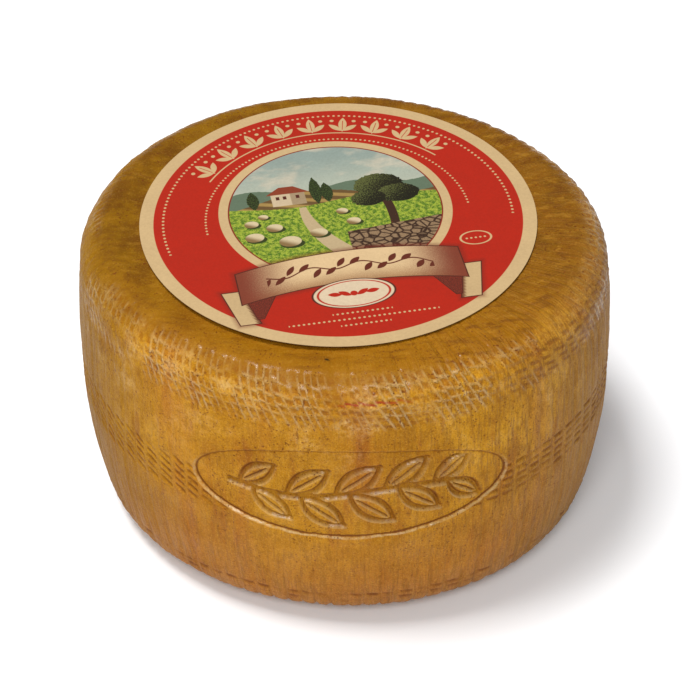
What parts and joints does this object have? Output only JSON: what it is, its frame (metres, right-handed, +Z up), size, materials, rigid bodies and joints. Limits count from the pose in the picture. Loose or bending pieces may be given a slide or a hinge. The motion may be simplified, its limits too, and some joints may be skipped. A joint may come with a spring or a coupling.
{
  "type": "canestrato cheese wheel",
  "caption": "Whole barrel-shaped wheel of basket-moulded hard sheep's cheese with ribbed sides, a pressed oval panel and a round paper label on top.",
  "frame": {"origin": "middle of the flat foot that the wheel stands on", "axes": "+Z up through the wheel, -Y towards the front with the pressed oval panel, +X to the right seen from the front"},
  "size_m": [0.2293, 0.2138, 0.1356],
  "materials": {
    "rind": "golden ochre basket-ribbed cheese rind, lightly oiled, satin, with red-brown grooves",
    "printed_paper": null
  },
  "bodies": {
    "root": {"cheese_wheel": "rind", "label": "printed_paper"}
  },
  "joints": []
}
